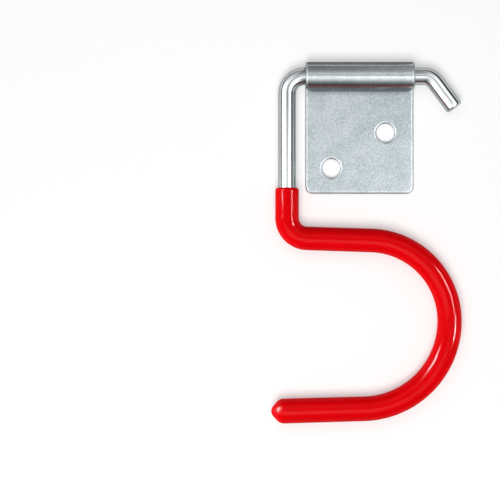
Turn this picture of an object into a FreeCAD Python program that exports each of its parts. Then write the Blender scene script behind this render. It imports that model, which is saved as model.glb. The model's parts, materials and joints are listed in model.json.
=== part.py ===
import FreeCAD, Part
import math
import os

import Sketcher

# Garage utility hook: a sheet-steel wall plate whose top edge is curled into a barrel, a round bar that
# turns in the barrel and is bent into a wide hook, and a red vinyl dip coat on the lower part of the bar.
# Frame: origin at the middle of the plate's width, level with the screw pattern's centre, on the plate's
# back; +Z up to the barrel, +Y into the wall.

SIZES = {
    # Sheet: a flat blank, its top edge curled forward over the bar
    "plate_width": 50.0,
    "plate_drop": 54.0,
    "sheet_thickness": 2.3,
    "barrel_clearance": 0.25,
    "curl_tail_angle": 64.0,
    "curl_tail_length": 3.2,
    "curl_corner_radius": 4.0,
    "plate_corner_radius": 3.3,
    "edge_radius": 0.9,
    # Screw holes: two on a diagonal, the pattern's centre below the barrel's axis and a little to the left
    "hole_drop": 34.0,
    "hole_shift": 0.5,
    "hole_circle": 30.0,
    "hole_line_angle": 33.2,
    "hole_diameter": 8.6,
    # Bar: from the short retaining leg through the barrel to the shank, the arm, the bight and the tail
    "rod_diameter": 8.0,
    "leg_reach": 32.8,
    "leg_angle": 53.2,
    "leg_length": 18.2,
    "leg_bend_inside": 3.0,
    "leg_end_radius": 1.2,
    "shank_offset": 33.6,
    "shank_bend_inside": 4.0,
    "arm_drop": 74.4,
    "arm_slope": 1.84,
    "arm_bend_inside": 5.4,
    "bight_reach": 74.9,
    "bight_upper_radius": 37.2,
    "bight_lower_radius": 40.4,
    "tail_slope": 1.6,
    "tail_overhang": 7.3,
    "rod_end_chamfer": 2.0,
    # Dip coat: thin at its upper rim, thicker towards the tip, with a coned and rounded nose
    "coat_rise": 23.1,
    "coat_rim_wall": 1.4,
    "coat_tip_wall": 1.75,
    "coat_rim_radius": 1.2,
    "coat_nose_wall": 1.7,
    "nose_length": 5.85,
    "nose_radius": 3.6,
    "nose_cone_angle": 49.0,
}

AXIS_DEPTH = "Sheet.sheet_thickness + Sheet.barrel_clearance + Sheet.rod_diameter / 2"
START, END, CENTRE = 1, 2, 3
ORIGIN = (-1, 1)
ACROSS = -1

doc = FreeCAD.newDocument("utility_hook")
sheet = doc.addObject("Spreadsheet::Sheet", "Sheet")
for row, (alias, value) in enumerate(SIZES.items(), start=1):
    sheet.set(f"A{row}", alias.replace("_", " "))
    sheet.set(f"B{row}", str(value))
    sheet.setAlias(f"B{row}", alias)
doc.recompute()


def size(alias):
    """One driving dimension, as the sheet holds it."""
    return float(getattr(sheet, alias))


def add_body(name):
    body = doc.addObject("PartDesign::Body", name)
    body.Label = name
    return body


def add_sketch(body, name, role):
    """A sketch on one of the body's own origin planes."""
    plane = next(item for item in body.Origin.OriginFeatures if item.Role == role)
    sketch = body.newObject("Sketcher::SketchObject", name)
    sketch.AttachmentSupport = [(plane, "")]
    sketch.MapMode = "FlatFace"
    return sketch


def vector(point):
    return FreeCAD.Vector(point[0], point[1], 0)


def add_line(sketch, start, end):
    return sketch.addGeometry(Part.LineSegment(vector(start), vector(end)))


def add_arc(sketch, centre, radius, first, last):
    """An arc drawn anticlockwise between two angles in degrees."""
    circle = Part.Circle(vector(centre), FreeCAD.Vector(0, 0, 1), radius)
    return sketch.addGeometry(Part.ArcOfCircle(circle, math.radians(first), math.radians(last)))


def fix(sketch, *terms):
    sketch.addConstraint(Sketcher.Constraint(*terms))


def drive(sketch, name, expression, kind, *terms):
    """A named dimension of the sketch, bound to the sheet."""
    index = sketch.addConstraint(Sketcher.Constraint(kind, *terms))
    sketch.renameConstraint(index, name)
    sketch.setExpression(f"Constraints.{name}", expression)


def edges_where(feature, test):
    """Names of the feature's edges that pass a test."""
    edges = feature.Shape.Edges
    return [f"Edge{number}" for number, edge in enumerate(edges, start=1) if test(edge)]


# Values that several pieces share
rod_radius = size("rod_diameter") / 2
bore_radius = rod_radius + size("barrel_clearance")
thickness = size("sheet_thickness")
axis_y = -(thickness + bore_radius)
axis_z = size("hole_drop")
shank_x = -size("shank_offset")

# Mounting plate: the section of the curled sheet, seen from its end, runs up the wall, over the bar and
# down its front, and ends in a short straight tail in front of the plate
plate = add_body("mounting_plate")
section = add_sketch(plate, "curl_section", "YZ_Plane")
tail_angle = math.radians(size("curl_tail_angle"))
outward = (-math.cos(tail_angle), -math.sin(tail_angle))
along = (math.sin(tail_angle), -math.cos(tail_angle))
tail_length = size("curl_tail_length")
barrel_radius = bore_radius + thickness
bottom_z = axis_z - size("plate_drop")


def curl_point(radius, run):
    """A point of the tail, at a radius from the barrel's axis and a run beyond the end of the curve."""
    return (axis_y + radius * outward[0] + run * along[0], axis_z + radius * outward[1] + run * along[1])


sweep = 180 + size("curl_tail_angle")
back = add_line(section, (0, bottom_z), (0, axis_z))
outer = add_arc(section, (axis_y, axis_z), barrel_radius, 0, sweep)
outer_tail = add_line(section, curl_point(barrel_radius, 0), curl_point(barrel_radius, tail_length))
tail_end = add_line(section, curl_point(barrel_radius, tail_length), curl_point(bore_radius, tail_length))
inner_tail = add_line(section, curl_point(bore_radius, tail_length), curl_point(bore_radius, 0))
inner = add_arc(section, (axis_y, axis_z), bore_radius, 0, sweep)
front = add_line(section, (-thickness, axis_z), (-thickness, bottom_z))
bottom = add_line(section, (-thickness, bottom_z), (0, bottom_z))
fix(section, "Tangent", back, END, outer, START)
fix(section, "Tangent", outer, END, outer_tail, START)
fix(section, "Coincident", outer_tail, END, tail_end, START)
fix(section, "Coincident", tail_end, END, inner_tail, START)
fix(section, "Tangent", inner_tail, END, inner, END)
fix(section, "Tangent", inner, START, front, START)
fix(section, "Coincident", front, END, bottom, START)
fix(section, "Coincident", bottom, END, back, START)
fix(section, "Coincident", outer, CENTRE, inner, CENTRE)
fix(section, "Perpendicular", outer_tail, tail_end)
fix(section, "Parallel", outer_tail, inner_tail)
fix(section, "Vertical", back)
fix(section, "Vertical", front)
fix(section, "Horizontal", bottom)
fix(section, "PointOnObject", back, START, -2)
bore_size = "Sheet.rod_diameter / 2 + Sheet.barrel_clearance"
drive(section, "bore", bore_size, "Radius", inner, bore_radius)
drive(section, "gauge", "Sheet.sheet_thickness", "DistanceX", bottom, START, bottom, END, thickness)
drive(section, "axis_height", "Sheet.hole_drop", "DistanceY", *ORIGIN, outer, CENTRE, axis_z)
drive(section, "drop", "Sheet.plate_drop", "DistanceY", back, START, outer, CENTRE, size("plate_drop"))
drive(section, "tail_length", "Sheet.curl_tail_length", "Distance", outer_tail, tail_length)
tail_turn = tail_angle - math.pi / 2
drive(section, "tail_turn", "(Sheet.curl_tail_angle - 90) * 1 deg", "Angle", outer_tail, tail_turn)

blank = plate.newObject("PartDesign::Pad", "sheet")
blank.Profile = section
blank.SideType = "Symmetric"
blank.setExpression("Length", "Sheet.plate_width")

# Two screw holes at the ends of a line through the pattern's centre
hole_sketch = add_sketch(plate, "hole_pattern", "XZ_Plane")
hole_angle = math.radians(size("hole_line_angle"))
hole_arm = size("hole_circle") / 2
hole_shift = size("hole_shift")
hole_step = (hole_arm * math.cos(hole_angle), hole_arm * math.sin(hole_angle))
low_place = (-hole_shift - hole_step[0], -hole_step[1])
high_place = (-hole_shift + hole_step[0], hole_step[1])
hole_line = add_line(hole_sketch, low_place, high_place)
hole_sketch.toggleConstruction(hole_line)
pattern_centre = hole_sketch.addGeometry(Part.Point(vector((-hole_shift, 0))), True)
hole_radius = size("hole_diameter") / 2
low_hole = hole_sketch.addGeometry(Part.Circle(vector(low_place), FreeCAD.Vector(0, 0, 1), hole_radius))
high_hole = hole_sketch.addGeometry(Part.Circle(vector(high_place), FreeCAD.Vector(0, 0, 1), hole_radius))
fix(hole_sketch, "PointOnObject", pattern_centre, START, ACROSS)
fix(hole_sketch, "Symmetric", hole_line, START, hole_line, END, pattern_centre, START)
fix(hole_sketch, "Coincident", low_hole, CENTRE, hole_line, START)
fix(hole_sketch, "Coincident", high_hole, CENTRE, hole_line, END)
fix(hole_sketch, "Equal", low_hole, high_hole)
drive(hole_sketch, "shift", "Sheet.hole_shift", "DistanceX", pattern_centre, START, *ORIGIN, hole_shift)
drive(hole_sketch, "circle", "Sheet.hole_circle", "Distance", hole_line, 2 * hole_arm)
drive(hole_sketch, "turn", "Sheet.hole_line_angle * 1 deg", "Angle", hole_line, hole_angle)
drive(hole_sketch, "hole", "Sheet.hole_diameter", "Diameter", low_hole, 2 * hole_radius)
doc.recompute()

holes = plate.newObject("PartDesign::Pocket", "screw_holes")
holes.Profile = hole_sketch
holes.SideType = "Symmetric"
holes.Type = "ThroughAll"
doc.recompute()
hole_metal = 2 * math.pi * hole_radius ** 2 * thickness
cut_metal = blank.Shape.Volume - holes.Shape.Volume
if abs(cut_metal - hole_metal) > 0.01 * hole_metal:
    raise RuntimeError(f"screw holes cut {cut_metal:.1f} mm3, not {hole_metal:.1f}")

half_width = size("plate_width") / 2
tail_middle = FreeCAD.Vector(0, *curl_point(bore_radius + thickness / 2, tail_length))


def crosses_sheet(edge, y, z):
    """True for a short straight edge through the sheet at one of the blank's side faces."""
    middle = edge.CenterOfMass
    at_side = abs(abs(middle.x) - half_width) < 1e-3
    return at_side and abs(middle.y - y) < 1e-3 and abs(middle.z - z) < 1e-3


bottom_corners = plate.newObject("PartDesign::Fillet", "bottom_corners")
bottom_edges = edges_where(holes, lambda edge: crosses_sheet(edge, -thickness / 2, bottom_z))
bottom_corners.Base = (holes, bottom_edges)
bottom_corners.setExpression("Radius", "Sheet.plate_corner_radius")
doc.recompute()

tail_corners = plate.newObject("PartDesign::Fillet", "tail_corners")
tail_edges = edges_where(bottom_corners, lambda edge: crosses_sheet(edge, tail_middle.y, tail_middle.z))
tail_corners.Base = (bottom_corners, tail_edges)
tail_corners.setExpression("Radius", "Sheet.curl_corner_radius")
doc.recompute()

# The cut edge of the sheet is softly rounded on both sides, round its whole outline and at the holes
tail_normal = FreeCAD.Vector(0, *outward)


def is_sheet_face(face):
    """True for the sheet's two broad faces, flat or curled, and false for its cut edge."""
    if isinstance(face.Surface, Part.Cylinder):
        return abs(face.Surface.Axis.x) > 0.999
    if not isinstance(face.Surface, Part.Plane):
        return False
    normal = face.normalAt(0, 0)
    return abs(normal.y) > 0.999 or abs(normal.dot(tail_normal)) > 0.999


def is_rim(edge):
    faces = tail_corners.Shape.ancestorsOfType(edge, Part.Face)
    return sum(is_sheet_face(face) for face in faces) == 1


soft_edges = plate.newObject("PartDesign::Fillet", "soft_edges")
soft_edges.Base = (tail_corners, edges_where(tail_corners, is_rim))
soft_edges.setExpression("Radius", "Sheet.edge_radius")
doc.recompute()


# Hook rod: one bar, swept both ways from the middle of the barrel
rod = add_body("hook_rod")
bar_section = add_sketch(rod, "bar_section", "YZ_Plane")
bar_circle = Part.Circle(vector((axis_y, axis_z)), FreeCAD.Vector(0, 0, 1), rod_radius)
bar = bar_section.addGeometry(bar_circle)
drive(bar_section, "across", "Sheet.rod_diameter", "Diameter", bar, 2 * rod_radius)
drive(bar_section, "depth", AXIS_DEPTH, "DistanceX", bar, CENTRE, *ORIGIN, -axis_y)
drive(bar_section, "height", "Sheet.hole_drop", "DistanceY", *ORIGIN, bar, CENTRE, axis_z)


def add_path(body, name):
    """A sketch in the bar's own plane, parallel to the wall."""
    path = add_sketch(body, name, "XZ_Plane")
    path.setExpression("AttachmentOffset.Base.z", AXIS_DEPTH)
    return path


def start_in_barrel(path, bend_x):
    """The run inside the barrel, from the middle of the plate to a bend."""
    run = add_line(path, (0, axis_z), (bend_x, axis_z))
    fix(path, "Horizontal", run)
    fix(path, "PointOnObject", run, START, -2)
    drive(path, "axis_height", "Sheet.hole_drop", "DistanceY", *ORIGIN, run, START, axis_z)
    return run


# The short leg that keeps the bar in the barrel
leg_path = add_path(rod, "leg_path")
leg_angle = math.radians(size("leg_angle"))
leg_bend_radius = rod_radius + size("leg_bend_inside")
leg_bend_length = leg_bend_radius * math.tan(leg_angle / 2)
leg_corner = (size("leg_reach"), axis_z)
leg_way = (math.cos(leg_angle), -math.sin(leg_angle))
leg_bend_x = leg_corner[0] - leg_bend_length


def leg_point(run):
    """A point of the leg, at a run from its corner with the barrel's axis."""
    return (leg_corner[0] + run * leg_way[0], leg_corner[1] + run * leg_way[1])


leg_run = start_in_barrel(leg_path, leg_bend_x)
leg_bend_centre = (leg_bend_x, axis_z - leg_bend_radius)
leg_bend = add_arc(leg_path, leg_bend_centre, leg_bend_radius, 90 - size("leg_angle"), 90)
leg = add_line(leg_path, leg_point(leg_bend_length), leg_point(size("leg_length")))
leg_mark = leg_path.addGeometry(Part.Point(vector(leg_corner)))
leg_path.toggleConstruction(leg_mark)
fix(leg_path, "Tangent", leg_run, END, leg_bend, END)
fix(leg_path, "Tangent", leg_bend, START, leg, START)
fix(leg_path, "PointOnObject", leg_mark, START, leg_run)
fix(leg_path, "PointOnObject", leg_mark, START, leg)
inside_bend = "Sheet.rod_diameter / 2 + Sheet.leg_bend_inside"
drive(leg_path, "bend", inside_bend, "Radius", leg_bend, leg_bend_radius)
drive(leg_path, "turn", "-Sheet.leg_angle * 1 deg", "Angle", leg, -leg_angle)
drive(leg_path, "reach", "Sheet.leg_reach", "DistanceX", *ORIGIN, leg_mark, START, leg_corner[0])
leg_size = size("leg_length")
drive(leg_path, "length", "Sheet.leg_length", "Distance", leg_mark, START, leg, END, leg_size)

# The hook's own curve: shank, bend, arm, upper and lower half of the bight, tail. The bar and its coat
# share it.
arm_slope = math.radians(size("arm_slope"))
tail_slope = math.radians(size("tail_slope"))
arm_bend_radius = rod_radius + size("arm_bend_inside")
arm_bend_length = arm_bend_radius * math.tan(math.pi / 4 - arm_slope / 2)
arm_corner = (shank_x, axis_z - size("arm_drop"))
arm_way = (math.cos(arm_slope), -math.sin(arm_slope))
upper_radius = size("bight_upper_radius")
lower_radius = size("bight_lower_radius")
bight_x = shank_x + size("bight_reach")
upper_x = bight_x - upper_radius
arm_run = (upper_x + upper_radius * math.sin(arm_slope) - shank_x) / math.cos(arm_slope)
upper_z = arm_corner[1] + arm_run * arm_way[1] - upper_radius * math.cos(arm_slope)
lower_x = bight_x - lower_radius
tail_way = (math.cos(tail_slope), math.sin(tail_slope))
tail_start = (lower_x + lower_radius * tail_way[1], upper_z - lower_radius * tail_way[0])


def arm_point(run):
    """A point of the arm, at a run from its corner with the shank."""
    return (arm_corner[0] + run * arm_way[0], arm_corner[1] + run * arm_way[1])


def tail_point(x):
    """The point of the tail's line at one x."""
    return (x, tail_start[1] + (x - tail_start[0]) * math.tan(tail_slope))


def add_hook_curve(path, shank_top, tail_x, end_gap):
    """Shank, arm, bight and tail as straight runs joined by tangent arcs. Returns the shank."""
    bend_z = arm_corner[1] + arm_bend_length
    shank = add_line(path, (shank_x, shank_top), (shank_x, bend_z))
    bend_centre = (shank_x + arm_bend_radius, bend_z)
    bend = add_arc(path, bend_centre, arm_bend_radius, 180, 270 - size("arm_slope"))
    arm = add_line(path, arm_point(arm_bend_length), arm_point(arm_run))
    upper = add_arc(path, (upper_x, upper_z), upper_radius, 0, 90 - size("arm_slope"))
    lower = add_arc(path, (lower_x, upper_z), lower_radius, size("tail_slope") - 90, 0)
    tail = add_line(path, tail_point(tail_x), tail_start)
    corner = path.addGeometry(Part.Point(vector(arm_corner)))
    path.toggleConstruction(corner)
    fix(path, "Tangent", shank, END, bend, START)
    fix(path, "Tangent", bend, END, arm, START)
    fix(path, "Tangent", arm, END, upper, END)
    fix(path, "Tangent", upper, START, lower, END)
    fix(path, "Tangent", lower, START, tail, END)
    fix(path, "Vertical", shank)
    fix(path, "Horizontal", upper, CENTRE, upper, START)
    fix(path, "PointOnObject", corner, START, shank)
    fix(path, "PointOnObject", corner, START, arm)
    drive(path, "offset", "Sheet.shank_offset", "DistanceX", shank, START, *ORIGIN, -shank_x)
    arm_height = "Sheet.arm_drop - Sheet.hole_drop"
    drive(path, "arm_height", arm_height, "DistanceY", corner, START, *ORIGIN, -arm_corner[1])
    arm_bend = "Sheet.rod_diameter / 2 + Sheet.arm_bend_inside"
    drive(path, "arm_bend", arm_bend, "Radius", bend, arm_bend_radius)
    drive(path, "arm_turn", "-Sheet.arm_slope * 1 deg", "Angle", arm, -arm_slope)
    drive(path, "upper_half", "Sheet.bight_upper_radius", "Radius", upper, upper_radius)
    drive(path, "lower_half", "Sheet.bight_lower_radius", "Radius", lower, lower_radius)
    drive(path, "reach", "Sheet.bight_reach", "DistanceX", shank, START, upper, START, bight_x - shank_x)
    drive(path, "tail_turn", "Sheet.tail_slope * 1 deg", "Angle", tail, tail_slope)
    span = f"Sheet.bight_reach + Sheet.tail_overhang - {end_gap}"
    drive(path, "span", span, "DistanceX", tail, START, upper, START, bight_x - tail_x)
    return shank


hook_path = add_path(rod, "hook_path")
shank_bend_radius = rod_radius + size("shank_bend_inside")
nose_x = shank_x - size("tail_overhang")
rod_end_x = nose_x + size("coat_nose_wall") * tail_way[0]
barrel_run = start_in_barrel(hook_path, shank_x + shank_bend_radius)
shank_bend_centre = (shank_x + shank_bend_radius, axis_z - shank_bend_radius)
shank_bend = add_arc(hook_path, shank_bend_centre, shank_bend_radius, 90, 180)
rod_gap = "Sheet.coat_nose_wall * cos(Sheet.tail_slope * 1 deg)"
rod_shank = add_hook_curve(hook_path, shank_bend_centre[1], rod_end_x, rod_gap)
fix(hook_path, "Tangent", barrel_run, END, shank_bend, START)
fix(hook_path, "Tangent", shank_bend, END, rod_shank, START)
outer_bend = "Sheet.rod_diameter / 2 + Sheet.shank_bend_inside"
drive(hook_path, "shank_bend", outer_bend, "Radius", shank_bend, shank_bend_radius)
doc.recompute()

hook_bar = rod.newObject("PartDesign::AdditivePipe", "hook_bar")
hook_bar.Profile = bar_section
hook_bar.Spine = hook_path
leg_bar = rod.newObject("PartDesign::AdditivePipe", "leg_bar")
leg_bar.Profile = bar_section
leg_bar.Spine = leg_path
doc.recompute()


def rim_at(x, z):
    """A test for the round edge of a bar's end, by the middle of that end."""
    return lambda edge: (edge.CenterOfMass - FreeCAD.Vector(x, axis_y, z)).Length < 1e-2


leg_end = leg_point(size("leg_length"))
leg_round = rod.newObject("PartDesign::Fillet", "leg_end")
leg_round.Base = (leg_bar, edges_where(leg_bar, rim_at(*leg_end)))
leg_round.setExpression("Radius", "Sheet.leg_end_radius")
doc.recompute()
end_chamfer = rod.newObject("PartDesign::Chamfer", "tail_end")
end_chamfer.Base = (leg_round, edges_where(leg_round, rim_at(*tail_point(rod_end_x))))
end_chamfer.setExpression("Size", "Sheet.rod_end_chamfer")
doc.recompute()

# Vinyl dip coat: its outer form grows evenly thicker from the rim on the shank to the tail
coat = add_body("coat_form")
coat_path = add_path(coat, "coat_path")
rim_z = arm_corner[1] + size("coat_rise")
nose_length = size("nose_length")
shoulder_x = nose_x + nose_length * tail_way[0]
nose_gap = "Sheet.nose_length * cos(Sheet.tail_slope * 1 deg)"
coat_shank = add_hook_curve(coat_path, rim_z, shoulder_x, nose_gap)
rim_height = "Sheet.hole_drop - Sheet.arm_drop + Sheet.coat_rise"
rim_depth = "Sheet.arm_drop - Sheet.coat_rise - Sheet.hole_drop"
drive(coat_path, "rim_depth", rim_depth, "DistanceY", coat_shank, START, *ORIGIN, -rim_z)

rim_radius = rod_radius + size("coat_rim_wall")
tip_radius = rod_radius + size("coat_tip_wall")
rim_section = add_sketch(coat, "rim_section", "XY_Plane")
rim_section.setExpression("AttachmentOffset.Base.z", rim_height)
rim_circle = Part.Circle(vector((shank_x, axis_y)), FreeCAD.Vector(0, 0, 1), rim_radius)
rim = rim_section.addGeometry(rim_circle)
drive(rim_section, "across", "Sheet.rod_diameter / 2 + Sheet.coat_rim_wall", "Radius", rim, rim_radius)
drive(rim_section, "offset", "Sheet.shank_offset", "DistanceX", rim, CENTRE, *ORIGIN, -shank_x)
drive(rim_section, "depth", AXIS_DEPTH, "DistanceY", rim, CENTRE, *ORIGIN, -axis_y)
doc.recompute()

tip_section = coat.newObject("Sketcher::SketchObject", "tip_section")
tip_section.AttachmentSupport = [(coat_path, "Edge6")]
tip_section.MapMode = "NormalToEdge"
tip_section.MapPathParameter = 0
tip = tip_section.addGeometry(Part.Circle(vector((0, 0)), FreeCAD.Vector(0, 0, 1), tip_radius))
fix(tip_section, "Coincident", tip, CENTRE, *ORIGIN)
drive(tip_section, "across", "Sheet.rod_diameter / 2 + Sheet.coat_tip_wall", "Radius", tip, tip_radius)
doc.recompute()

coat_tube = coat.newObject("PartDesign::AdditivePipe", "coat_tube")
coat_tube.Profile = rim_section
coat_tube.Spine = coat_path
coat_tube.Sections = [(tip_section, [""])]
coat_tube.Transformation = "Multisection"
doc.recompute()

# The nose, turned about the tail: a rounded shoulder, a cone and a rounded tip
nose_path = add_path(coat, "nose_section")
nose_path.addExternal(coat_path.Name, "Edge6")
tail_line = -3
cone_angle = math.radians(size("nose_cone_angle"))
nose_radius = size("nose_radius")
cone_run = (tip_radius - nose_radius * math.cos(cone_angle)) / math.tan(cone_angle)
shoulder_run = nose_length - nose_radius * (1 - math.sin(cone_angle)) - cone_run
shoulder_radius = shoulder_run / math.tan(cone_angle / 2)


def nose_point(run, rise):
    """A point of the nose's section, by its run beyond the shoulder and its rise above the tail's line."""
    x, z = tail_point(shoulder_x)
    return (x - run * tail_way[0] - rise * tail_way[1], z - run * tail_way[1] + rise * tail_way[0])


cone_rise = tip_radius - shoulder_radius * (1 - math.cos(cone_angle))
cone_start = nose_point(shoulder_radius * math.sin(cone_angle), cone_rise)
nose_centre_run = nose_length - nose_radius
cone_end_run = nose_centre_run + nose_radius * math.sin(cone_angle)
cone_end = nose_point(cone_end_run, nose_radius * math.cos(cone_angle))
square = 90 + size("tail_slope")
cone_turn = square + size("nose_cone_angle")
base = add_line(nose_path, nose_point(0, 0), nose_point(0, tip_radius))
shoulder_centre = nose_point(0, tip_radius - shoulder_radius)
shoulder = add_arc(nose_path, shoulder_centre, shoulder_radius, square, cone_turn)
cone = add_line(nose_path, cone_end, cone_start)
nose = add_arc(nose_path, nose_point(nose_centre_run, 0), nose_radius, cone_turn, square + 90)
nose_axis = add_line(nose_path, nose_point(nose_length, 0), nose_point(0, 0))
fix(nose_path, "Perpendicular", base, END, shoulder, START)
fix(nose_path, "Tangent", shoulder, END, cone, END)
fix(nose_path, "Tangent", cone, START, nose, START)
fix(nose_path, "Perpendicular", nose, END, nose_axis, START)
fix(nose_path, "Coincident", nose_axis, END, base, START)
fix(nose_path, "Perpendicular", base, nose_axis)
fix(nose_path, "Coincident", base, START, tail_line, START)
fix(nose_path, "Parallel", nose_axis, tail_line)
drive(nose_path, "length", "Sheet.nose_length", "Distance", nose_axis, nose_length)
tip_size = "Sheet.rod_diameter / 2 + Sheet.coat_tip_wall"
drive(nose_path, "radius", tip_size, "Distance", base, tip_radius)
drive(nose_path, "rounding", "Sheet.nose_radius", "Radius", nose, nose_radius)
cone_slope = "(Sheet.nose_cone_angle + Sheet.tail_slope) * 1 deg"
drive(nose_path, "cone", cone_slope, "Angle", cone, cone_angle + tail_slope)
doc.recompute()

coat_nose = coat.newObject("PartDesign::Revolution", "coat_nose")
coat_nose.Profile = nose_path
coat_nose.ReferenceAxis = (coat_path, ["Edge6"])
coat_nose.Angle = 360
doc.recompute()


def on_rim(edge):
    """True for the edges round the flat upper end of the coat."""
    return abs(edge.BoundBox.ZMin - rim_z) < 1e-2 and abs(edge.BoundBox.ZMax - rim_z) < 1e-2


coat_rim = coat.newObject("PartDesign::Fillet", "coat_rim")
coat_rim.Base = (coat_nose, edges_where(coat_nose, on_rim))
coat_rim.setExpression("Radius", "Sheet.coat_rim_radius")
doc.recompute()

# The sleeve is what the bar leaves of that form
sleeve = doc.addObject("Part::Cut", "vinyl_sleeve")
sleeve.Label = "vinyl_sleeve"
sleeve.Base = coat
sleeve.Tool = rod
doc.recompute()

failed = [item.Name for item in doc.Objects if {"Invalid", "Error"} & set(item.State)]
if failed:
    raise RuntimeError(f"not built: {failed}")
pieces = (plate, rod, sleeve)
for piece in pieces:
    if piece.Shape.isNull() or not piece.Shape.isValid() or len(piece.Shape.Solids) != 1:
        raise RuntimeError(f"{piece.Label} is not one valid solid")

os.makedirs("parts", exist_ok=True)
for piece in pieces:
    piece.Shape.exportStep(f"parts/{piece.Label}.step")
    print(f"{piece.Label}: {piece.Shape.Volume:.0f} mm3")
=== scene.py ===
import json

import bpy
import numpy as np
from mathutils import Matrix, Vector


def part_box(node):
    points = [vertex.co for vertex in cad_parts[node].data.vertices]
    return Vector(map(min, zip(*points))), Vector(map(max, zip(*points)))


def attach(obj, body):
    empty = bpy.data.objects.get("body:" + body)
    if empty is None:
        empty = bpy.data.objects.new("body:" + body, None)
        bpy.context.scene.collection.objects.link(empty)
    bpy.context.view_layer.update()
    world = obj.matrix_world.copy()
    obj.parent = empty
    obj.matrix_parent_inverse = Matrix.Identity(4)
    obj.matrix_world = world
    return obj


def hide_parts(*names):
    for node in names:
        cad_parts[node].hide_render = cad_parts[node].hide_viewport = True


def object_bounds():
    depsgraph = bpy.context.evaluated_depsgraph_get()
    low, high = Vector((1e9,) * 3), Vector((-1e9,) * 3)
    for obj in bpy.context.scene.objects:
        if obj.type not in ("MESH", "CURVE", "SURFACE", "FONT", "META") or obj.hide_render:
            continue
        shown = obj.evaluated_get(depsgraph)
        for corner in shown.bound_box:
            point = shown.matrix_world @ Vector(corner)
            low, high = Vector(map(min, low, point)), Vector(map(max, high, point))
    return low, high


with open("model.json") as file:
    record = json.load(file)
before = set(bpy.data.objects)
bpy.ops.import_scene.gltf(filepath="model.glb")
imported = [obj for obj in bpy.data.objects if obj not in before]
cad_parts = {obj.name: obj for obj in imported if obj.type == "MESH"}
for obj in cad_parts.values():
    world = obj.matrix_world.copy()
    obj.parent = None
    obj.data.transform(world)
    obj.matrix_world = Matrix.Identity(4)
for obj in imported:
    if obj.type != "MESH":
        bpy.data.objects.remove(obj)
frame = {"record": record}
cad_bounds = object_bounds()


# Mounting plate: one piece of zinc-plated sheet steel. The blank is punched with rounded corners and two
# screw holes on a diagonal, and its upper edge is rolled forwards into the open barrel that holds the bar.

plate_low, plate_high = np.array(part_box("mounting_plate"))
sheet_thickness = 0.0023
roll_width = 0.0011
roll_depth = 0.0006
bottom_corner_radius = 0.0033
tail_corner_radius = 0.004
tail_angle = np.radians(64)
tail_length = 0.0032
hole_line_angle = np.radians(33.2)
hole_block = 0.007

barrel_radius = (plate_high[1] - plate_low[1]) / 2
barrel_y = plate_low[1] + barrel_radius
barrel_z = plate_high[2] - barrel_radius
curl_radius = barrel_radius - sheet_thickness / 2
curl_turn = np.pi + tail_angle
face_length = barrel_z - plate_low[2]
curl_end = face_length + curl_radius * curl_turn
blank_length = curl_end + tail_length
half_width = (plate_high[0] - plate_low[0]) / 2
half_blank = np.array([half_width, blank_length / 2])
blank_middle = np.array([0, blank_length / 2])
screw_holes = next(mount for mount in frame["record"]["mounts"] if mount["name"] == "screw_holes")
hole_radius = screw_holes["dims"]["hole_r_mm"] / 1000
hole_reach = screw_holes["dims"]["pcd_mm"] / 2000
hole_centre = np.array([screw_holes["pos_m"][0], screw_holes["pos_m"][2] - plate_low[2]])
hole_step = hole_reach * np.array([np.cos(hole_line_angle), np.sin(hole_line_angle)])
holes = np.array([hole_centre - hole_step, hole_centre + hole_step])

# Lines of the blank's grid, by their distance from a cut edge: close together where it is rolled over
quarter_turn = np.radians(np.arange(0, 91, 15))
roll_lines = roll_width * (1 - np.cos(quarter_turn))
roll_margin = 1.2
roll_end = roll_margin * roll_width

# Steps from side to side, through both blocks with a hole, and from the bottom edge up to the tail
hole_steps = 24
hole_fan = 8
across_steps = [9, hole_steps, 16, hole_steps, 9]
along_steps = [8, hole_steps, 4, hole_steps, 20, 80, 5]


def grid_lines(stops, steps):
    """Lines across a grid: each stretch between two stops is divided into its number of equal steps."""
    stretches = [np.linspace(a, b, n, endpoint=False) for a, b, n in zip(stops[:-1], stops[1:], steps)]
    return np.append(np.concatenate(stretches), stops[-1])


def grid_quads(rows, columns):
    """Corner numbers of the quads between neighbouring rows and columns of a grid of points."""
    number = np.arange(rows * columns).reshape(rows, columns)
    corners = (number[:-1, :-1], number[1:, :-1], number[1:, 1:], number[:-1, 1:])
    return np.stack(corners, axis=-1).reshape(-1, 4)


def past_corner(points):
    """The radius of each point's nearest corner, and how far past that corner's centre the point lies.

    The corner's centre is half the blank less the radius from the blank's middle, both across and along."""
    radius = np.where(points[:, 1:] < blank_middle[1], bottom_corner_radius, tail_corner_radius)
    return radius, np.abs(points - blank_middle) - (half_blank - radius)


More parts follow.
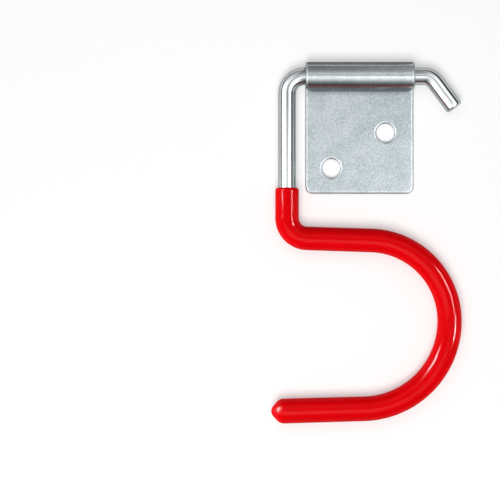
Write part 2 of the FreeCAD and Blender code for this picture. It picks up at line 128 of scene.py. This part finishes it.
def blank_grid():
    """The flat blank as a grid of across and along, less the square blocks that hold the screw holes.

    Where the distances into a corner's square are u and v, as shares of its radius, the corner is rounded by
    u * sqrt(1 - v * v / 2) and v * sqrt(1 - u * u / 2), which carries the square onto a quarter disc."""
    block_across, block_along = np.stack([holes - hole_block, holes + hole_block], axis=1).reshape(-1, 2).T
    across_stops = [roll_end - half_width, *block_across, half_width - roll_end]
    along_stops = [roll_end, *block_along, face_length, curl_end, blank_length - roll_end]
    across_middle = grid_lines(across_stops, across_steps)
    along_middle = grid_lines(along_stops, along_steps)
    across = np.concatenate([roll_lines - half_width, across_middle, half_width - roll_lines[::-1]])
    along = np.concatenate([roll_lines, along_middle, blank_length - roll_lines[::-1]])
    points = np.stack(np.meshgrid(across, along, indexing="ij"), axis=-1).reshape(-1, 2)
    quads = grid_quads(across.size, along.size)
    middles = points[quads].mean(axis=1)
    in_block = np.abs(middles[:, None] - holes[None]).max(axis=2).min(axis=1) < hole_block
    radius, past = past_corner(points)
    u, v = np.clip(past / radius, 0, 1).T
    rounded = radius * np.stack([u * np.sqrt(1 - v**2 / 2), v * np.sqrt(1 - u**2 / 2)], axis=-1)
    reach = half_blank - radius + np.where(past > 0, rounded, past)
    return blank_middle + np.sign(points - blank_middle) * reach, quads[~in_block]


def hole_ring(hole):
    """The metal between a screw hole and the edge of its square block, as rings of points.

    One parameter goes round: along the square, which is 2 wide and so 8 round, at an even pace, and through
    the same share of a turn of the circle, which is an eighth for each 1. The other goes inwards, from the
    square to a circle and then over the rounded rim to the hole."""
    around = np.arange(4 * hole_steps + 1) * 2 / hole_steps
    square = np.clip(np.abs(np.stack([around, around - 2], axis=-1) % 8 - 4) - 2, -1, 1)
    circle = np.stack([np.cos(around * np.pi / 4), np.sin(around * np.pi / 4)], axis=-1)
    fan = np.linspace(1, 0, hole_fan)
    share = np.append(fan, np.zeros(roll_lines.size))[:, None, None]
    rim = np.append(np.full(fan.size, roll_end), roll_lines[::-1])[:, None, None]
    rings = hole + share * hole_block * square + (1 - share) * (hole_radius + rim) * circle
    return rings.reshape(-1, 2), grid_quads(share.size, around.size)[:, ::-1]


def joined(patches):
    """Several patches as one mesh: points that are equal to 8 places are merged, and unused ones dropped."""
    point_sets, quad_sets = zip(*patches)
    firsts = np.cumsum([0] + [len(points) for points in point_sets[:-1]])
    quads = np.concatenate([quads + first for quads, first in zip(quad_sets, firsts)])
    same, merged = np.unique(np.round(np.concatenate(point_sets), 8), axis=0, return_inverse=True)
    used, renumbered = np.unique(merged.ravel()[quads], return_inverse=True)
    return same[used], renumbered.reshape(quads.shape)


def edge_share(points):
    """How far each point has come over the rounded cut edge: 0 on the flat, 1 at the edge itself.

    The distance to the edge is the least of those to the rounded outline and to the two holes."""
    radius, past = past_corner(points)
    outline = radius[:, 0] - np.hypot(*np.clip(past, 0, None).T) - np.minimum(past.max(axis=1), 0)
    round_holes = np.linalg.norm(points[:, None] - holes[None], axis=2).min(axis=1) - hole_radius
    return 1 - np.clip(np.minimum(outline, round_holes) / roll_width, 0, 1)


def rolled(points, offset):
    """Points of the flat blank on the finished sheet, at an offset from its middle.

    The turn is the distance along past the face, over the curl's radius, up to the whole curl. What is left
    of the distance is straight: below the curl it is the face on the wall, and beyond it the tail."""
    across, along = points.T
    turn = np.clip((along - face_length) / curl_radius, 0, curl_turn)
    straight = along - face_length - curl_radius * turn
    y = barrel_y + (curl_radius + offset) * np.cos(turn) - straight * np.sin(turn)
    z = barrel_z + (curl_radius + offset) * np.sin(turn) + straight * np.cos(turn)
    return np.stack([across, y, z], axis=-1)


def shell(front, back, quads):
    """A closed mesh from a front and a back skin: the edges that only one quad has are joined across."""
    edges = np.stack([quads, np.roll(quads, -1, axis=1)], axis=-1).reshape(-1, 2)
    first, count = np.unique(np.sort(edges, axis=1), axis=0, return_index=True, return_counts=True)[1:]
    start, end = edges[first[count == 1]].T
    rim = np.stack([end, start, start + len(front), end + len(front)], axis=-1)
    return np.concatenate([front, back]), np.concatenate([quads, quads[:, ::-1] + len(front), rim])


def new_piece(name, points, faces, body):
    """A smooth-shaded mesh object at the origin, riding on a body."""
    mesh = bpy.data.meshes.new(name)
    mesh.from_pydata(points.tolist(), [], faces)
    mesh.shade_smooth()
    piece = bpy.data.objects.new(name, mesh)
    bpy.context.scene.collection.objects.link(piece)
    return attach(piece, body)


class Wire:
    """A shader socket in a finish. Sums and products of wires and numbers add their own Math nodes."""

    def __init__(self, tree, socket=None):
        self.tree = tree
        self.socket = socket

    def node(self, kind, sockets, output=0, **settings):
        """Any other node: its settings first, then each socket's value or wire. Gives one output, if any."""
        made = self.tree.nodes.new(kind)
        for setting, value in settings.items():
            setattr(made, setting, value)
        for socket, value in sockets.items():
            if isinstance(value, Wire):
                self.tree.links.new(value.socket, made.inputs[socket])
            else:
                made.inputs[socket].default_value = value
        return Wire(self.tree, made.outputs[output] if made.outputs else None)

    def other(self, output):
        """Another output of the node that this wire comes from."""
        return Wire(self.tree, self.socket.node.outputs[output])

    def maths(self, operation, first, second):
        """One Math node on two wires or numbers."""
        return self.node("ShaderNodeMath", {0: first, 1: second}, operation=operation)

    def __add__(self, other):
        return self.maths("ADD", self, other)

    def __sub__(self, other):
        return self.maths("SUBTRACT", self, other)

    def __rsub__(self, other):
        return self.maths("SUBTRACT", other, self)

    def __mul__(self, other):
        return self.maths("MULTIPLY", self, other)

    __radd__ = __add__
    __rmul__ = __mul__

    def stretch(self, low, high):
        """The stretch of values from low to high, spread softly over 0 to 1."""
        sockets = {"Value": self, "From Min": low, "From Max": high}
        return self.node("ShaderNodeMapRange", sockets, interpolation_type="SMOOTHSTEP")

    def noise(self, grain, **sockets):
        """Noise on this place, with lumps of about the given grain in metres."""
        sockets = {"Vector": self, "Scale": 1 / grain, "Detail": 2.0} | sockets
        return self.node("ShaderNodeTexNoise", sockets)

    def mix(self, first, second):
        """A colour between two others, by this share of the second."""
        return self.node("ShaderNodeMix", {0: self, 6: first, 7: second}, output=2, data_type="RGBA")

    def bump(self, distance):
        """Normals of a surface that this height raises by up to a distance in metres."""
        return self.node("ShaderNodeBump", {"Height": self, "Distance": distance, "Strength": 1.0})


def socket_name(word):
    """A shader socket's own name, such as Base Color, from its name in Python."""
    return word.replace("_", " ").title().replace("Ior", "IOR")


def new_finish(name, **constants):
    """A finish whose shader has these values all over. Gives the material, its shader and a loose wire."""
    material = bpy.data.materials.new(name)
    material.use_nodes = True
    shader = material.node_tree.nodes["Principled BSDF"]
    for socket, value in constants.items():
        shader.inputs[socket_name(socket)].default_value = value
    return material, shader, Wire(material.node_tree)


def feed(shader, **wires):
    """Links each wire to the shader's socket of that name."""
    for socket, wire in wires.items():
        wire.tree.links.new(wire.socket, shader.inputs[socket_name(socket)])


# Satin zinc: a fine grain over broad clouds, a painted shade that darkens one patch of the face towards the
# upper right, and smoother where burnished
sheet_light_zinc = (0.775, 0.825, 0.842, 1)
sheet_dark_zinc = (0.285, 0.335, 0.356, 1)
zinc_rim_tint = (0.30, 0.32, 0.33, 1)
grain_size, grain_contrast, grain_height = 0.00027, (0.38, 0.62), 0.000005
cloud_size, cloud_contrast = 0.007, (0.3, 0.7)
# Painted shade on the face: its centre, the distance within which it is darkest, and the distance beyond
# which it is gone
painted_shade_centre, painted_shade_inside, painted_shade_outside = (0.017, -sheet_thickness, 0.018), 0.004, 0.026
grain_share, cloud_share, burnish_share, unshaded_share, tone_drop = 0.54, 0.14, 0.30, 0.10, 0.07
sheet_roughness, grain_polish, burnish_polish, burnish_levelling = 0.38, 0.08, 0.17, 0.6
edge_burnish = 0.3

zinc_sheet, zinc_shader, loose = new_finish("zinc sheet", metallic=1.0, specular_tint=zinc_rim_tint)
place = loose.node("ShaderNodeTexCoord", {}, output="Object")
zinc_grain = place.noise(grain_size, Detail=1.0).stretch(*grain_contrast)
zinc_clouds = place.noise(cloud_size).stretch(*cloud_contrast)
burnish = loose.node("ShaderNodeAttribute", {}, output="Fac", attribute_name="burnish")
# Painted shade: the face's tone is lighter clear of the patch, so the patch shows darker
to_painted_shade = {0: place, 1: painted_shade_centre}
painted_shade_distance = loose.node("ShaderNodeVectorMath", to_painted_shade, output="Value", operation="DISTANCE")
clear_of_painted_shade = painted_shade_distance.stretch(painted_shade_inside, painted_shade_outside)
grain_tone = grain_share * zinc_grain + cloud_share * zinc_clouds
zinc_tone_and_shade = grain_tone + burnish_share * burnish + unshaded_share * clear_of_painted_shade - tone_drop
feed(
    zinc_shader,
    base_color=zinc_tone_and_shade.mix(sheet_dark_zinc, sheet_light_zinc),
    roughness=sheet_roughness - grain_polish * zinc_grain - burnish_polish * burnish,
    normal=(zinc_grain * (1 - burnish_levelling * burnish)).bump(grain_height),
)

blank, blank_quads = joined([blank_grid(), *map(hole_ring, holes)])
over_edge = edge_share(blank)
half_sheet = sheet_thickness / 2 - roll_depth * (1 - np.sqrt(1 - over_edge**2))
skins, sheet_faces = shell(rolled(blank, -half_sheet), rolled(blank, half_sheet), blank_quads)
mounting_plate = new_piece("rolled_plate", skins, sheet_faces.tolist(), "plate")

# The dies burnish the curl up to its cut edges, and the cut edges of the face a little
burnished = np.where(blank[:, 1] > face_length, over_edge == 0, edge_burnish * (over_edge > 0))
burnish_layer = mounting_plate.data.attributes.new("burnish", "FLOAT", "POINT")
burnish_layer.data.foreach_set("value", np.tile(burnished, 2).astype(np.float32))
mounting_plate.data.materials.append(zinc_sheet)
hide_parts("mounting_plate")


# Hook rod: one round steel bar, cut to length, zinc plated and bent cold. It is threaded through the barrel,
# and the short leg bent down beyond the barrel keeps it there. The rest is shank, arm, wide bight and tail.

rod_low, rod_high = np.array(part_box("hook_rod"))
rod_radius = (rod_high[1] - rod_low[1]) / 2
rod_columns = 72
bend_step = np.radians(3)
straight_step = 0.002
same_place = 1e-6
leg_reach = 0.0328
leg_angle = np.radians(53.2)
leg_length = 0.0182
leg_bend_radius = rod_radius + 0.003
leg_end_radius = 0.0012
shank_offset = 0.0336
shank_bend_radius = rod_radius + 0.004
arm_drop = 0.0744
arm_slope = np.radians(1.84)
arm_bend_radius = rod_radius + 0.0054
bight_x = 0.0413
upper_radius = 0.0372
lower_radius = 0.0404
tail_slope = np.radians(1.6)
nose_x = -0.04089
nose_wall = 0.0017
rod_chamfer = 0.002

# The bar as it is bent, from the leg's end: the length of each run and the turn to the left that it makes
quarter = np.pi / 2
leg_bend_run = leg_bend_radius * np.tan(leg_angle / 2)
arm_turn = quarter - arm_slope
arm_bend_run = arm_bend_radius * np.tan(arm_turn / 2)
tail_turn = quarter - tail_slope
arm_end_x = bight_x - upper_radius + upper_radius * np.sin(arm_slope)
tail_start_x = bight_x - lower_radius + lower_radius * np.sin(tail_slope)
run_lengths = np.array([
    leg_length - leg_bend_run,
    leg_bend_radius * leg_angle,
    leg_reach - leg_bend_run + shank_offset - shank_bend_radius,
    shank_bend_radius * quarter,
    arm_drop - shank_bend_radius - arm_bend_run,
    arm_bend_radius * arm_turn,
    (arm_end_x + shank_offset) / np.cos(arm_slope) - arm_bend_run,
    upper_radius * arm_turn,
    lower_radius * tail_turn,
    (tail_start_x - nose_x) / np.cos(tail_slope),
])
run_turns = np.array([0, leg_angle, 0, quarter, 0, arm_turn, 0, -arm_turn, -tail_turn, 0])
run_stops = np.append(0, np.cumsum(run_lengths))
run_headings = np.pi - leg_angle + np.append(0, np.cumsum(run_turns)[:-1])
run_chords = run_lengths * np.sinc(run_turns / 2 / np.pi)
leg_end_x = leg_reach + leg_length * np.cos(leg_angle)
leg_end_z = barrel_z - leg_length * np.sin(leg_angle)
run_x = leg_end_x + np.append(0, np.cumsum(run_chords * np.cos(run_headings + run_turns / 2))[:-1])
run_z = leg_end_z + np.append(0, np.cumsum(run_chords * np.sin(run_headings + run_turns / 2))[:-1])


def bent_line(distance):
    """Centre and heading of the bar at distances from the leg's end.

    A run is an arc or a straight. The chord from its start to a point is the distance times sin(a) / a, with
    a for half the turn made so far, and it points that half turn away from the run's first heading."""
    run = np.clip(np.searchsorted(run_stops, distance, side="right") - 1, 0, run_lengths.size - 1)
    gone = distance - run_stops[run]
    half_turn = gone * run_turns[run] / run_lengths[run] / 2
    chord = gone * np.sinc(half_turn / np.pi)
    way = run_headings[run] + half_turn
    return run_x[run] + chord * np.cos(way), run_z[run] + chord * np.sin(way), way + half_turn


def bend_lines(start, end):
    """Distances between two places on the bar: one for each small step of a bend's turn or of a straight."""
    inside = (run_stops > start + same_place) & (run_stops < end - same_place)
    stops = np.concatenate([[start], run_stops[inside], [end]])
    run = np.searchsorted(run_stops, (stops[:-1] + stops[1:]) / 2) - 1
    share = np.diff(stops) / run_lengths[run]
    steps = np.maximum(share * np.abs(run_turns[run]) / bend_step, np.diff(stops) / straight_step)
    return grid_lines(stops, np.ceil(steps).astype(int))


def round_sweep(name, distance, radius, body):
    """A round profile carried along the bent line: each ring stands square to the heading, at its radius.

    Both ends are closed with a flat face. The attribute "straight bar" keeps each point's distance along and
    its place across, as on the bar before it was bent."""
    x, z, heading = (values[:, None] for values in bent_line(distance))
    around = np.arange(rod_columns) * 2 * np.pi / rod_columns
    lift = radius[:, None] * np.cos(around)
    depth = radius[:, None] * np.sin(around)
    points = np.stack([x - lift * np.sin(heading), barrel_y + depth, z + lift * np.cos(heading)], axis=-1)
    number = np.arange(points.size // 3).reshape(lift.shape)
    ahead = np.roll(number, -1, axis=1)
    quads = np.stack([number[:-1], number[1:], ahead[1:], ahead[:-1]], axis=-1).reshape(-1, 4)
    ends = [number[0].tolist(), number[-1, ::-1].tolist()]
    piece = new_piece(name, points.reshape(-1, 3), quads.tolist() + ends, body)
    straight = np.stack([distance[:, None] + 0 * lift, lift, depth], axis=-1)
    straight_layer = piece.data.attributes.new("straight bar", "FLOAT_VECTOR", "POINT")
    straight_layer.data.foreach_set("vector", straight.ravel())
    return piece


# Bright zinc: long faint lines from drawing the bar, and a small mottle that follows it round the bends
bar_light_zinc = (0.690, 0.715, 0.725, 1)
bar_dark_zinc = (0.560, 0.592, 0.606, 1)
drawing_stretch, drawing_size, drawing_contrast = (0.04, 1, 1), 0.0005, (0.3, 0.7)
mottle_size, mottle_contrast = 0.0016, (0.35, 0.65)
drawing_share, mottle_share = 0.5, 0.5
bar_roughness, mottle_polish, bar_height = 0.14, 0.05, 0.0000022

zinc_bar, bar_shader, loose = new_finish("zinc bar", metallic=1.0, specular_tint=zinc_rim_tint)
straight_bar = loose.node("ShaderNodeAttribute", {}, output="Vector", attribute_name="straight bar")
drawn = {0: straight_bar, 1: drawing_stretch}
drawn_place = loose.node("ShaderNodeVectorMath", drawn, operation="MULTIPLY")
drawing_lines = drawn_place.noise(drawing_size, Detail=3.0).stretch(*drawing_contrast)
bar_mottle = straight_bar.noise(mottle_size, Detail=3.0).stretch(*mottle_contrast)
bar_tone = drawing_share * drawing_lines + mottle_share * bar_mottle
feed(
    bar_shader,
    base_color=bar_tone.mix(bar_dark_zinc, bar_light_zinc),
    roughness=bar_roughness - mottle_polish * bar_mottle,
    normal=bar_tone.bump(bar_height),
)

rod_end = run_stops[-1] - nose_wall
rod_distance = np.concatenate([
    leg_end_radius * (1 - np.sin(quarter_turn[::-1])),
    bend_lines(leg_end_radius, rod_end - rod_chamfer)[1:],
    [rod_end],
])
rod_radii = np.full(rod_distance.size, rod_radius)
rod_radii[: quarter_turn.size] -= leg_end_radius * (1 - np.cos(quarter_turn[::-1]))
rod_radii[-1] -= rod_chamfer
hook_rod = round_sweep("bent_rod", rod_distance, rod_radii, "hook")
hook_rod.data.materials.append(zinc_bar)
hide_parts("hook_rod")


# Vinyl sleeve: a soft red coat on the lower part of the bar, from the shank to the tail. The hot bar is
# dipped in liquid vinyl, which sets glossy, thin at the rim and thicker towards the blunt cone of the tip.

rim_z = -0.0173
rim_wall = 0.0014
tip_wall = 0.00175
rim_rounding = 0.0013
nose_length = 0.00585
nose_radius = 0.0036
nose_rings = 9
cone_angle = np.radians(49)
tip_angle = np.radians(88)

coat_start = run_stops[4] + barrel_z - shank_bend_radius - rim_z
shoulder = run_stops[-1] - nose_length
rim_radius = rod_radius + rim_wall
tip_radius = rod_radius + tip_wall
cone_run = (tip_radius - nose_radius * np.cos(cone_angle)) / np.tan(cone_angle)
shoulder_run = nose_length - nose_radius * (1 - np.sin(cone_angle)) - cone_run
shoulder_radius = shoulder_run / np.tan(cone_angle / 2)

# The sleeve's profile as distances and radii: back along the bore, round the rim, along the coat, the nose
bore = bend_lines(coat_start, rod_end - rod_chamfer)[::-1]
coat = bend_lines(coat_start + rim_rounding, shoulder)[1:-1]
shoulder_turn = np.linspace(0, cone_angle, nose_rings)
nose_turn = np.linspace(cone_angle, tip_angle, nose_rings)
sleeve_distance = np.concatenate([
    [rod_end],
    bore,
    coat_start + rim_rounding * (1 - np.sin(quarter_turn[::-1])),
    coat,
    shoulder + shoulder_radius * np.sin(shoulder_turn),
    run_stops[-1] - nose_radius * (1 - np.sin(nose_turn)),
])
taper = (coat - coat_start) / (shoulder - coat_start)
sleeve_radii = np.concatenate([
    [rod_radius - rod_chamfer],
    np.full(bore.size, rod_radius),
    rim_radius - rim_rounding * (1 - np.cos(quarter_turn[::-1])),
    rim_radius + (tip_radius - rim_radius) * taper,
    tip_radius - shoulder_radius * (1 - np.cos(shoulder_turn)),
    nose_radius * np.cos(nose_turn),
])

# Glossy vinyl: a clear even red that sagged a little as it set, with a trace of orange peel
vinyl_red = (0.800, 0.001, 0.004, 1)
vinyl_deep_red = (0.760, 0.001, 0.003, 1)
sag_size, sag_contrast = 0.009, (0.3, 0.7)
peel_size, peel_share = 0.0011, 0.02
skin_height = 0.000008

red_vinyl, vinyl_shader, loose = new_finish(
    "red vinyl", specular_ior_level=0.0, roughness=0.6, coat_weight=0.13, coat_roughness=0.12
)
place = loose.node("ShaderNodeTexCoord", {}, output="Object")
vinyl_sag = place.noise(sag_size)
vinyl_peel = place.noise(peel_size)
feed(
    vinyl_shader,
    base_color=vinyl_sag.stretch(*sag_contrast).mix(vinyl_deep_red, vinyl_red),
    normal=(vinyl_sag + peel_share * vinyl_peel).bump(skin_height),
)

vinyl_sleeve = round_sweep("dip_coat", sleeve_distance, sleeve_radii, "hook")
vinyl_sleeve.data.materials.append(red_vinyl)
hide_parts("vinyl_sleeve")


# Wall and floor: a matt white wall just behind the plate and a pale floor at its foot. Both keep the hook's
# shadow. The wall is open when seen from its back, and to the short reflections of the plate's own back.

wall_gap = 0.0004
wall_y = plate_high[1] + wall_gap
wall_reach = 1.6
floor_drop = 1.25
floor_front = wall_y - 2 * wall_reach
matt_wall = (0.72, 0.72, 0.72, 1)
white_lift = 0.31
mirrored_lift = 0.12


def upright(left, right, y, low, high):
    """Corners of a rectangle that faces forwards."""
    return [(left, y, low), (right, y, low), (right, y, high), (left, y, high)]


def level(left, right, front, back, z):
    """Corners of a rectangle that faces upwards."""
    return [(left, front, z), (right, front, z), (right, back, z), (left, back, z)]


def new_stage(name, corners, finish):
    """A flat quad of the stage."""
    mesh = bpy.data.meshes.new(name)
    mesh.from_pydata(corners, [], [(0, 1, 2, 3)])
    mesh.materials.append(finish)
    flat = bpy.data.objects.new(name, mesh)
    bpy.context.scene.collection.objects.link(flat)
    return flat


def cleared(owner):
    """A loose wire in a material or a world whose own nodes are cleared away."""
    owner.use_nodes = True
    owner.node_tree.nodes.clear()
    return Wire(owner.node_tree)


def seen_directly(rays, seen, mirrored):
    """One value for rays from the camera or through a clear piece, and one for rays off a shiny piece."""
    camera_ray, clear_ray = rays.other("Is Camera Ray"), rays.other("Is Transmission Ray")
    return seen * (camera_ray + clear_ray) + mirrored * rays.other("Is Glossy Ray")


wall_paint = bpy.data.materials.new("white wall")
loose = cleared(wall_paint)
rays = loose.node("ShaderNodeLightPath", {})
matt = loose.node("ShaderNodeBsdfDiffuse", {"Color": matt_wall})
lift = loose.node("ShaderNodeEmission", {"Strength": seen_directly(rays, white_lift, mirrored_lift)})
painted = loose.node("ShaderNodeAddShader", {0: matt, 1: lift})
from_behind = loose.node("ShaderNodeNewGeometry", {}, output="Backfacing")
short_ray = loose.maths("LESS_THAN", rays.other("Ray Length"), 2 * wall_gap)
from_plate = rays.other("Is Glossy Ray") * short_ray
see_through = loose.node("ShaderNodeBsdfTransparent", {})
one_sided = loose.node("ShaderNodeMixShader", {0: from_behind + from_plate, 1: painted, 2: see_through})
loose.node("ShaderNodeOutputMaterial", {"Surface": one_sided})

wall = new_stage("wall", upright(-wall_reach, wall_reach, wall_y, -floor_drop, wall_reach), wall_paint)
floor = new_stage("floor", level(-wall_reach, wall_reach, floor_front, wall_y, -floor_drop), wall_paint)


# Studio light: a broad soft key from the lower left, a fill for the wall and floor alone, and side fills and
# soft boxes for the coat alone. The metal mirrors a cloth tent in front of the wall, brightest just below
# the level and dark at its sides, and a grey card on the wall above the barrel, a painted shade seen only
# in the metal.

key_place, key_size, key_power = (-0.10, -0.96, -0.35), 0.46, 6.1
fill_place, fill_size, fill_power = (-0.10, -1.00, 0.20), 0.90, 2.6
side_size = 0.30
side_fills = {"left fill": ((-0.80, -0.20, -0.10), 3.0), "right fill": ((0.80, -0.20, -0.10), 1.6)}
coat_boxes = {
    "left strip": {"place": (-0.179, -0.144, -0.011), "width": 0.036, "height": 0.022, "power": 0.20},
    "left box": {"place": (-0.385, -0.348, 0.145), "width": 0.158, "height": 0.130, "power": 8.3},
    "right strip": {"place": (0.512, -0.486, 0.1325), "width": 0.145, "height": 0.205, "power": 7.7},
    "sleeve strip": {"place": (0.504, -0.486, -0.020), "width": 0.085, "height": 0.10, "power": 1.8},
    "right foot": {"place": (0.576, -0.394, -0.150), "width": 0.13, "height": 0.13, "power": 7.6},
    "low box": {"place": (-0.072, -0.594, -0.302), "width": 0.950, "height": 0.404, "power": 2.5},
    "nose glint": {
        "place": (-0.151, -0.0455, -0.0985),
        "width": 0.011,
        "height": 0.011,
        "power": 0.11,
        "aim": (-0.0376, -0.0065, -0.1186),
        "spread": np.radians(12),
    },
    "upper box": {"place": (0.0, -0.575, 0.275), "width": 0.750, "height": 0.448, "power": 0.9},
}
object_centre = (cad_bounds[0] + cad_bounds[1]) / 2


def new_lamp(name, place, width, height, power, aim=object_centre, spread=np.pi):
    """A soft rectangular lamp aimed at the object, or at one place on it."""
    data = bpy.data.lights.new(name, "AREA")
    data.shape = "RECTANGLE"
    data.size = width
    data.size_y = height
    data.energy = power
    data.spread = spread
    lamp = bpy.data.objects.new(name, data)
    lamp.location = place
    lamp.rotation_euler = (Vector(aim) - lamp.location).to_track_quat("-Z", "Y").to_euler()
    bpy.context.scene.collection.objects.link(lamp)
    return lamp


def group_of(name, *things):
    """A collection of the few things that a light is kept to."""
    group = bpy.data.collections.new(name)
    for thing in things:
        group.objects.link(thing)
    return group


key = new_lamp("key", key_place, key_size, key_size, key_power)
key.visible_glossy = False
fill = new_lamp("fill", fill_place, fill_size, fill_size, fill_power)
fill.visible_glossy = False
fill.light_linking.receiver_collection = group_of("stage only", wall, floor)

# The side fills brighten the coat's red, and the soft boxes are what its gloss mirrors
coat_only = group_of("coat only", vinyl_sleeve)
for name, (side_place, side_power) in side_fills.items():
    side_fill = new_lamp(name, side_place, side_size, side_size, side_power)
    side_fill.visible_glossy = False
    side_fill.light_linking.receiver_collection = coat_only
for name, box in coat_boxes.items():
    coat_box = new_lamp(name, **box)
    coat_box.visible_camera = False
    coat_box.visible_diffuse = False
    coat_box.light_linking.receiver_collection = coat_only


def soft_line(values, middle, width):
    """1 at the middle of a line and 0 away from it, by the exponential of minus the distance squared."""
    return np.exp(-(((values - middle) / width) ** 2))


def mirrored_only(thing):
    """Leaves a thing of the stage to be seen in shiny pieces alone."""
    thing.visible_camera = False
    thing.visible_diffuse = False
    thing.visible_shadow = False
    thing.visible_transmission = False


# How the tent glows, by degrees up from the level and to the right of the middle
tent_radius = 0.80
tent_columns, tent_rows = 361, 121
rise_glow = np.array([
    (-90, 0.07), (-68, 0.12), (-60, 0.27), (-50, 0.50), (-40, 0.80), (-30, 1.40), (-20, 2.00), (-10, 2.50),
    (-3, 2.60), (4, 1.85), (8, 1.40), (13, 1.40), (20, 1.50), (28, 1.20), (36, 0.80), (45, 0.60), (55, 0.48),
    (70, 0.36), (90, 0.22),
])
side_glow = np.array([
    (-90, 0.50), (-87, 0.30), (-85, 0.06), (-74, 0.06), (-70, 1.30), (-45, 1.40), (-19, 1.20), (-14, 0.60),
    (-8, 0.54), (3, 0.54), (9, 0.70), (18, 1.05), (28, 1.35), (48, 1.40), (53, 0.06), (78, 0.06), (82, 0.45),
    (90, 0.60),
])

# Two darker places in it: a soft opening for the lens, and a narrow seam across the middle
lens_side, lens_width, lens_rise, lens_height, lens_depth = 8, 5, 9, 6, 0.25
seam_depth = np.array([(8, 0), (9, 0.64), (11, 0.64), (13, 0)])
seam_side, seam_width = 4, 16

columns = np.linspace(-90, 90, tent_columns)
tent_side, tent_rise = np.meshgrid(columns, np.linspace(-90, 90, tent_rows), indexing="ij")
lens_opening = soft_line(tent_side, lens_side, lens_width) * soft_line(tent_rise, lens_rise, lens_height)
seam = np.interp(tent_rise, *seam_depth.T) * soft_line(tent_side, seam_side, seam_width)
bare_glow = np.interp(tent_rise, *rise_glow.T) * np.interp(tent_side, *side_glow.T)
glow = bare_glow * (1 - lens_depth * lens_opening) * (1 - seam)

side, rise = np.radians(tent_side), np.radians(tent_rise)
outward = np.stack([np.sin(side) * np.cos(rise), -np.cos(side) * np.cos(rise), np.sin(rise)], axis=-1)
tent_points = np.array(object_centre) + tent_radius * outward.reshape(-1, 3)
tent_mesh = bpy.data.meshes.new("light tent")
tent_mesh.from_pydata(tent_points.tolist(), [], grid_quads(*glow.shape).tolist())
glow_layer = tent_mesh.attributes.new("glow", "FLOAT", "POINT")
glow_layer.data.foreach_set("value", glow.ravel())
tent_cloth = bpy.data.materials.new("tent cloth")
loose = cleared(tent_cloth)
cloth_glow = loose.node("ShaderNodeAttribute", {}, output="Fac", attribute_name="glow")
lit_cloth = loose.node("ShaderNodeEmission", {"Color": cloth_glow})
loose.node("ShaderNodeOutputMaterial", {"Surface": lit_cloth})
tent_mesh.materials.append(tent_cloth)
tent = bpy.data.objects.new("light tent", tent_mesh)
mirrored_only(tent)
bpy.context.scene.collection.objects.link(tent)
tent.light_linking.receiver_collection = group_of("metal only", mounting_plate, hook_rod)

# The grey card is painted shade seen only in the metal: it gives the top of the barrel a darker reflection
# in place of the white wall
card_grey = (0.27, 0.27, 0.27, 1)
card_half, card_low, card_high = 0.026, 0.0415, 0.120
card_gap = 0.0002
card_paint = bpy.data.materials.new("grey card")
loose = cleared(card_paint)
card_tone = loose.node("ShaderNodeEmission", {"Color": card_grey})
loose.node("ShaderNodeOutputMaterial", {"Surface": card_tone})
card_corners = upright(-card_half, card_half, wall_y - card_gap, card_low, card_high)
mirrored_only(new_stage("grey card", card_corners, card_paint))

# The room is grey to the object and white to the camera
room_grey = (0.24, 0.24, 0.24, 1)
room_white = (1, 1, 1, 1)
room = bpy.data.worlds.new("room")
bpy.context.scene.world = room
loose = cleared(room)
rays = loose.node("ShaderNodeLightPath", {})
grey_room = loose.node("ShaderNodeBackground", {"Color": room_grey})
white_room = loose.node("ShaderNodeBackground", {"Color": room_white})
seen_room = loose.node("ShaderNodeMixShader", {0: seen_directly(rays, 1, 1), 1: grey_room, 2: white_room})
loose.node("ShaderNodeOutputWorld", {"Surface": seen_room})
bpy.context.scene.view_settings.view_transform = "Standard"


# Camera: square to the wall and level with the hook's middle, with a long lens. It is aimed beside the hook,
# which then stands on the picture's right.

camera_place = (-0.05067, -0.900, -0.0419)
view_width = 0.2315
view_depth = -camera_place[1] - sheet_thickness

lens = bpy.data.cameras.new("camera")
lens.lens = lens.sensor_width * view_depth / view_width
lens.clip_start = 0.01
camera = bpy.data.objects.new("camera", lens)
camera.location = camera_place
camera.rotation_euler = (np.pi / 2, 0, 0)
bpy.context.scene.collection.objects.link(camera)
bpy.context.scene.camera = camera
